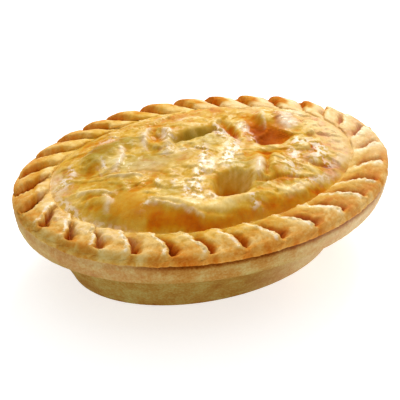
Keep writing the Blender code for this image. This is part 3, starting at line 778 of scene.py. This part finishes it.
def crimp_ring(inset, height, share, flank, strands):
    """A ring across the strands of the crimp. Share is how much of the furrows' depth it has."""
    strand, column = np.divmod(np.arange(RIM_COLUMNS), COLUMNS_PER_STRAND)
    even = column / COLUMNS_PER_STRAND
    part = 1 - (1 - even) ** COLUMN_CROWDING
    sizes = strands[strand, 0]
    starts = wavering_starts(inset, strands)
    uneven = starts[strand] + part * (1 + np.roll(starts, -1) - starts)[strand]
    hold = smooth_step(0.0, 0.10, share)
    share = max(0.0, share)

    along = strand + even
    back = on_stretch(along, *BACK)
    band = 0.0012 - 0.0045 * back + 0.0012 * on_stretch(along, *LEFT)
    share = share * (1 - 0.25 * on_stretch(along, *BACK_RIGHT)) * smooth_step(band, band + 0.0030, inset)
    share += 0.35 * back * (1 - share) * window(inset, 0.0003, 0.0016, 0.0030, 0.0060)
    top = STRAND_CREST + (STRAND_CREST_AT_BACK - STRAND_CREST) * back
    profile = strand_profile(part, flank, top)
    place = along + hold * (uneven - even) + CREST_OVERHANG * share * profile
    angle = rim_angle(place + strand_turn(inset))
    swell, rise = rim_wobble(angle)

    near_edge = smooth_step(0.009, 0.0, inset) * smooth_step(-0.0005, 0.0016, inset)
    near_lid = window(inset, 0.0100, 0.0138, 0.0138, 0.0150)
    out = swell * (1 - inset / CRIMP_WIDTH) - inset
    out += sizes * (STRAND_SWELL * profile * near_edge - HEAD_REACH * (profile - 0.5) * near_lid)
    x, y = rim_points(angle, out)
    amount = np.minimum(1.0, share * 1.5)
    patches = layers(x, y, DENTS)
    core = (smooth_step(0.21, 0.12, part) + smooth_step(0.955, 0.985, part)) * (1 - back)
    core = core * window(inset, 0.0030, 0.0050, 0.0100, 0.0125)
    z = height + rise - FURROW_DEPTH * sizes * share * (1 - profile)
    z += EDGE_FILL * smooth_step(*LID_TO_RIGHT, np.cos(angle)) * smooth_step(0.0105, CRIMP_WIDTH, inset)
    z += DENT_HEIGHT * amount * (1 - 0.8 * back) * patches - SLOT_DEPTH * core
    specks = smooth_step(0.2, 0.5, layers(x, y, RIM_SPECKS))
    return ring(x, y, z, **crimp_looks(inset, along, part, top, amount, core, patches, specks))


def lid_ring(share, columns):
    """A ring of the lid, a share of the way from its middle to the crimp."""
    angle = rim_angle(STRAND_COUNT * np.arange(columns) / columns)
    _, rise = rim_wobble(angle)
    x = LID_HALF_LENGTH * share * np.cos(angle)
    y = LID_HALF_WIDTH * share * np.sin(angle)
    moved = wander(x, y, reach=0.0007, size=0.0046)
    flakes = layers(x, y, FLAKES)
    to_right = smooth_step(*LID_TO_RIGHT, np.cos(angle))
    wrinkle = smooth_step(1.0, 0.90, share) * (1 - np.minimum(1.0, spots(*moved, SMOOTH)))
    wrinkle = wrinkle * (1 + to_right * smooth_step(0.60, 0.75, share))
    hole = spots(*wander(x, y, reach=0.0006, size=0.0050), (STEAM_HOLE,))
    z = lid_height(*moved) + rise * share**4 - hole + FLAKE_HEIGHT * wrinkle * flakes
    z += EDGE_FILL * to_right * smooth_step(0.84, 1.0, share)

    # The looks follow the same places, moved a little more, so that their edges are ragged. The folds'
    # creases are painted darker as shade and their ridges paler as highlight.
    fold_shading = sum(fold_height(*moved, fold) for fold in FOLDS)
    moved = wander(*moved, reach=0.0011, size=0.0019)
    patches = (0.3 + 0.7 * np.minimum(1.0, wrinkle)) * (flakes + layers(x, y, PATCHES))
    # The dome's front slope is painted darker as shade, and the patches paler as sheen
    front_slope_shade = smooth_step(0.80, 0.95, share) * smooth_step(-0.2, -0.8, y / LID_HALF_WIDTH)
    bake_and_shade = 0.38 + spots(*moved, BROWNED_AND_SHADED) + 0.10 * front_slope_shade - 0.10 * patches
    bake_and_shade -= np.clip(140 * fold_shading, -0.16, 0.16)
    glaze = 0.78 + 0.22 * patches - spots(*moved, DRIER)
    green_and_shade = 0.8 * np.minimum(1.0, spots(*moved, GREENER_AND_SHADED))
    pale_and_sheen = spots(*moved, PALE_AND_SHEEN) + sum(fold_height(*moved, row) for row in HIGHLIGHT_STREAKS)
    # A painted sheen pales the lid along its right edge
    pale_and_sheen = np.minimum(1.0, pale_and_sheen + 0.25 * to_right * smooth_step(0.78, 0.98, share))
    blister_and_glint = np.minimum(1.0, 0.10 + spots(*moved, BLISTERS_AND_GLINTS))
    return ring(x, y, z, bake_and_shade, glaze, green_and_shade, pale_and_sheen, blister_and_glint, crumb=0.25 + 0.5 * blister_and_glint, wrinkle=wrinkle)


def pie_rings():
    """Every ring of the crust, from the base to the middle of the lid."""
    strands = draw_strands()
    rings = []
    for inset, height in smooth_section(WALL_SECTION, WALL_RINGS):
        rings.append(case_ring(inset, height, RIM_COLUMNS // 2))
    for inset, height in smooth_section(LIP_SECTION, LIP_RINGS):
        rings.append(case_ring(inset, height, RIM_COLUMNS))
    for inset, height, share, flank in smooth_section(CRIMP_SECTION, CRIMP_RINGS)[:-1]:
        rings.append(crimp_ring(inset, height, share, flank, strands))
    for step in range(LID_RINGS, 0, -1):
        share = step / LID_RINGS
        thinning = next(divisor for reach, divisor in LID_THINNING if share > reach)
        rings.append(lid_ring(share, RIM_COLUMNS // thinning))
    return rings


def join_rings(first, second):
    """Faces between two rings of vertex numbers, of one size or with one of them twice the other's."""
    if len(first) == len(second):
        return list(zip(first, np.roll(first, -1), np.roll(second, -1), second))
    wide_first = len(first) > len(second)
    wide, narrow = (first, second) if wide_first else (second, first)
    left, middle, right = wide[0::2], wide[1::2], np.roll(wide[0::2], -1)
    after = np.roll(narrow, -1)
    faces = [*zip(left, middle, narrow), *zip(middle, after, narrow), *zip(middle, right, after)]
    return faces if wide_first else [face[::-1] for face in faces]


def close_ring(numbers, point, is_base):
    """A fan from a ring to one point."""
    after = np.roll(numbers, -1)
    return [(point, b, a) if is_base else (a, b, point) for a, b in zip(numbers, after)]


def crust_faces(rings):
    """Every face of the crust. The points in the middle of the base and of the lid come after the rings."""
    ends = np.cumsum([len(rows) for rows in rings])
    numbers = [np.arange(end - len(rows), end) for rows, end in zip(rings, ends)]
    faces = close_ring(numbers[0], ends[-1], True)
    for first, second in zip(numbers, numbers[1:]):
        faces += join_rings(first, second)
    faces += close_ring(numbers[-1], ends[-1] + 1, False)
    return [tuple(int(number) for number in face) for face in faces]


def build_crust():
    """The whole pie as one fine closed mesh, with its looks as named attributes."""
    rings = pie_rings()
    middle = np.zeros(1)
    base_point = ring(middle, middle, 0.0, bake_and_shade=0.4, glaze=0.0)
    top_point = ring(middle, middle, lid_height(middle, middle), bake_and_shade=0.36, glaze=1.0, wrinkle=1.0)
    rows = np.vstack(rings + [base_point, top_point])
    mesh = bpy.data.meshes.new("pie_crust")
    mesh.from_pydata(rows[:, :3].tolist(), [], crust_faces(rings))
    for column, name in enumerate(ATTRIBUTES, start=3):
        layer = mesh.attributes.new(name, "FLOAT", "POINT")
        layer.data.foreach_set("value", np.ascontiguousarray(rows[:, column], np.float32))
    places = [vertex.co.copy() for vertex in mesh.vertices]
    normals = [vertex.normal.copy() for vertex in mesh.vertices]
    for vertex, place, normal, row in zip(mesh.vertices, places, normals, rows):
        vertex.co = place + normal * grain(place, *row[7:10])
    mesh.shade_smooth()
    mesh.update()
    crust = bpy.data.objects.new("pie_crust", mesh)
    bpy.context.scene.collection.objects.link(crust)
    return crust


def srgb(*levels):
    """A colour written as on a screen, in levels from 0 to 255, in the values that a shader takes."""
    shares = [level / 255 for level in levels]
    linear = [share / 12.92 if share <= 0.04045 else ((share + 0.055) / 1.055) ** 2.4 for share in shares]
    return (*linear, 1.0)


class Nodes:
    """A short way to write a material's nodes and their links."""

    def __init__(self, material):
        material.use_nodes = True
        self.tree = material.node_tree
        self.shader = self.tree.nodes["Principled BSDF"]

    def add(self, kind, inputs=(), **settings):
        node = self.tree.nodes.new(kind)
        for name, value in settings.items():
            setattr(node, name, value)
        for socket, value in dict(inputs).items():
            self.put(node.inputs[socket], value)
        return node

    def put(self, socket, value):
        if isinstance(value, bpy.types.NodeSocket):
            self.tree.links.new(value, socket)
        else:
            socket.default_value = value

    def math(self, operation, first, second):
        return self.add("ShaderNodeMath", {0: first, 1: second}, operation=operation).outputs[0]

    def sum(self, first, *others):
        for other in others:
            first = self.math("ADD", first, other)
        return first

    def product(self, first, second):
        return self.math("MULTIPLY", first, second)

    def attribute(self, name):
        return self.add("ShaderNodeAttribute", attribute_name=name).outputs["Fac"]

    def noise(self, place, scale, detail=3.0, roughness=0.55):
        inputs = {"Vector": place, "Scale": scale, "Detail": detail, "Roughness": roughness}
        return self.add("ShaderNodeTexNoise", inputs).outputs["Fac"]

    def scaled(self, value, low, high, new_low, new_high):
        inputs = {"Value": value, "From Min": low, "From Max": high, "To Min": new_low, "To Max": new_high}
        return self.add("ShaderNodeMapRange", inputs).outputs["Result"]

    def ramp(self, value, stops):
        node = self.add("ShaderNodeValToRGB", {"Fac": value})
        elements = node.color_ramp.elements
        while len(elements) < len(stops):
            elements.new(0.5)
        for element, (position, *levels) in zip(elements, stops):
            element.position = position
            element.color = srgb(*levels)
        return node.outputs["Color"]

    def mix(self, share, first, second, blend_type="MIX"):
        node = self.add("ShaderNodeMix", data_type="RGBA", blend_type=blend_type)
        for socket, value in ((node.inputs[0], share), (node.inputs[6], first), (node.inputs[7], second)):
            self.put(socket, value)
        return node.outputs[2]


def pastry_colour(nodes, place, marks, clouds, mottle, specks):
    """The pastry's colour: glazed or dry, by how baked it is and by painted shade, with greener places, pale
    places with painted sheen, painted glints, and specks.
    """
    drifts = nodes.noise(place, 70.0)
    grains = nodes.noise(place, 1200.0)
    blotches = nodes.noise(place, 480.0, 2.0)
    # How baked each point is, with the painted shade and highlights added in
    baked_and_shaded = nodes.sum(
        marks["bake_and_shade"],
        nodes.scaled(clouds, 0.3, 0.7, -0.09, 0.09),
        nodes.scaled(mottle, 0.3, 0.7, -0.03, 0.03),
        nodes.scaled(drifts, 0.3, 0.7, -0.08, 0.08),
    )
    glazed_colour = nodes.ramp(baked_and_shaded, GLAZED_COLOURS)
    sand = nodes.sum(baked_and_shaded, nodes.scaled(grains, 0.3, 0.7, -0.09, 0.09))
    dry_colour = nodes.ramp(sand, DRY_COLOURS)
    colour = nodes.mix(nodes.scaled(marks["glaze"], 0.1, 0.5, 0.0, 1.0), dry_colour, glazed_colour)
    colour = nodes.mix(marks["green_and_shade"], colour, GREEN_AND_SHADE_TINT, "MULTIPLY")

    # Painted glints as pale flecks on the blisters, with darker gaps between them
    glint_share = nodes.scaled(marks["blister_and_glint"], 0.1, 1.0, 0.0, 1.0)
    glint_flecks = nodes.product(glint_share, nodes.scaled(blotches, 0.46, 0.54, 0.0, 0.92))
    colour = nodes.mix(glint_flecks, colour, srgb(*GLINT_COLOUR))
    gaps = nodes.product(marks["blister_and_glint"], nodes.scaled(blotches, 0.46, 0.38, 0.0, 0.65))
    colour = nodes.mix(gaps, colour, srgb(*GAP_COLOUR))
    # Pale glaze with painted sheen and highlights
    pale_sheen = nodes.product(marks["pale_and_sheen"], nodes.scaled(blotches, 0.35, 0.60, 0.55, 0.95))
    colour = nodes.mix(pale_sheen, colour, srgb(*PALE_SHEEN_COLOUR))
    return nodes.mix(nodes.scaled(specks, 0.30, 0.38, 0.30, 0.0), colour, srgb(*SPECK_COLOUR))


def pastry_gloss(nodes, marks, clouds, mottle):
    """The pastry's roughness and the weight of its glaze, which bakes dull where it is browned most and where
    painted shade is deepest.
    """
    dull = nodes.scaled(marks["bake_and_shade"], 0.52, 0.75, 0.0, 1.0)
    roughness = nodes.sum(
        nodes.scaled(marks["glaze"], 0.0, 1.0, 0.80, 0.36),
        nodes.scaled(mottle, 0.3, 0.7, -0.06, 0.08),
        nodes.product(dull, 0.3),
    )
    shine = nodes.scaled(marks["glaze"], 0.5, 1.0, 0.0, 0.34)
    coat = nodes.product(shine, nodes.scaled(clouds, 0.36, 0.64, 0.5, 1.5))
    coat = nodes.sum(coat, nodes.product(nodes.sum(marks["blister_and_glint"], marks["pale_and_sheen"]), 0.30))
    coat = nodes.product(coat, nodes.scaled(marks["green_and_shade"], 0.0, 1.0, 1.0, 0.5))
    coat = nodes.product(coat, nodes.scaled(dull, 0.0, 1.0, 1.0, 0.08))
    return roughness, coat


def pastry_material():
    """Baked shortcrust: dry and matt on the case, egg glazed and browned on the lid and the crimp."""
    material = bpy.data.materials.new("pastry")
    nodes = Nodes(material)
    place = nodes.add("ShaderNodeTexCoord").outputs["Object"]
    marks = {name: nodes.attribute(name) for name in ATTRIBUTES}
    clouds = nodes.noise(place, 160.0, 4.0)
    mottle = nodes.noise(place, 620.0, 4.0)
    specks = nodes.noise(place, 1900.0, 2.0)
    inputs = nodes.shader.inputs
    nodes.put(inputs["Base Color"], pastry_colour(nodes, place, marks, clouds, mottle, specks))
    roughness, coat = pastry_gloss(nodes, marks, clouds, mottle)
    nodes.put(inputs["Roughness"], roughness)
    nodes.put(inputs["Coat Weight"], coat)
    inputs["Coat Roughness"].default_value = 0.14
    inputs["Coat IOR"].default_value = 1.4
    inputs["Specular IOR Level"].default_value = 0.04

    relief = nodes.sum(nodes.product(mottle, 0.6), nodes.product(specks, 0.4))
    bump = nodes.add("ShaderNodeBump", {"Height": relief, "Strength": 0.35, "Distance": 0.0004})
    nodes.put(inputs["Normal"], bump.outputs["Normal"])
    return material


def floor_material():
    """A plain pale floor, very slightly uneven, that glows a little, so that it shows white."""
    material = bpy.data.materials.new("pale_floor")
    nodes = Nodes(material)
    place = nodes.add("ShaderNodeTexCoord").outputs["Object"]
    inputs = nodes.shader.inputs
    nodes.put(inputs["Base Color"], nodes.ramp(nodes.noise(place, 3.0), FLOOR_COLOURS))
    inputs["Roughness"].default_value = 0.8
    inputs["Specular IOR Level"].default_value = 0.1
    inputs["Emission Color"].default_value = WHITE
    inputs["Emission Strength"].default_value = FLOOR_GLOW
    return material


def build_floor():
    """The floor that the pie stands on."""
    half = FLOOR_SIZE / 2
    corners = [(-half, -half, 0.0), (half, -half, 0.0), (half, half, 0.0), (-half, half, 0.0)]
    mesh = bpy.data.meshes.new("floor")
    mesh.from_pydata(corners, [], [(0, 1, 2, 3)])
    floor = bpy.data.objects.new("floor", mesh)
    floor.data.materials.append(floor_material())
    bpy.context.scene.collection.objects.link(floor)


def direction(azimuth, elevation):
    """The way from the pie to a camera or light. An azimuth of 0 degrees is the front, -Y, and 90 is +X."""
    azimuth = math.radians(azimuth)
    elevation = math.radians(elevation)
    flat = math.cos(elevation)
    return Vector((math.sin(azimuth) * flat, -math.cos(azimuth) * flat, math.sin(elevation)))


def build_camera():
    """The camera, where the photograph was taken from."""
    data = bpy.data.cameras.new("camera")
    data.lens = CAMERA_LENS
    data.sensor_width = SENSOR_WIDTH
    data.clip_start = 0.01
    camera = bpy.data.objects.new("camera", data)
    way = direction(CAMERA_AZIMUTH, CAMERA_ELEVATION)
    camera.location = CAMERA_TARGET + way * CAMERA_DISTANCE
    camera.rotation_euler = (-way).to_track_quat("-Z", "Y").to_euler()
    bpy.context.scene.collection.objects.link(camera)
    bpy.context.scene.camera = camera


def add_light(name, azimuth, elevation, distance, size, power, colour):
    """A soft square light that faces the pie."""
    data = bpy.data.lights.new(name, "AREA")
    data.size = size
    data.energy = power
    data.color = colour
    light = bpy.data.objects.new(name, data)
    way = direction(azimuth, elevation)
    light.location = way * distance + LIGHT_TARGET
    light.rotation_euler = (-way).to_track_quat("-Z", "Y").to_euler()
    bpy.context.scene.collection.objects.link(light)


def build_light():
    """A soft key light from the back right, a wide light above the pie, and a white room."""
    world = bpy.data.worlds.new("room")
    world.use_nodes = True
    background = world.node_tree.nodes["Background"]
    background.inputs["Color"].default_value = WHITE
    background.inputs["Strength"].default_value = ROOM_BRIGHTNESS
    bpy.context.scene.world = world
    add_light("key", 141.0, 42.0, distance=0.9, size=0.45, power=6.2, colour=(1.0, 0.985, 0.96))
    add_light("top", 150.0, 75.0, distance=0.9, size=1.2, power=2.0, colour=(1.0, 0.99, 0.97))
    bpy.context.scene.view_settings.view_transform = "Standard"


def main():
    build_camera()
    crust = build_crust()
    crust.data.materials.append(pastry_material())
    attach(crust, "root")
    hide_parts("pie")
    build_floor()
    build_light()


main()
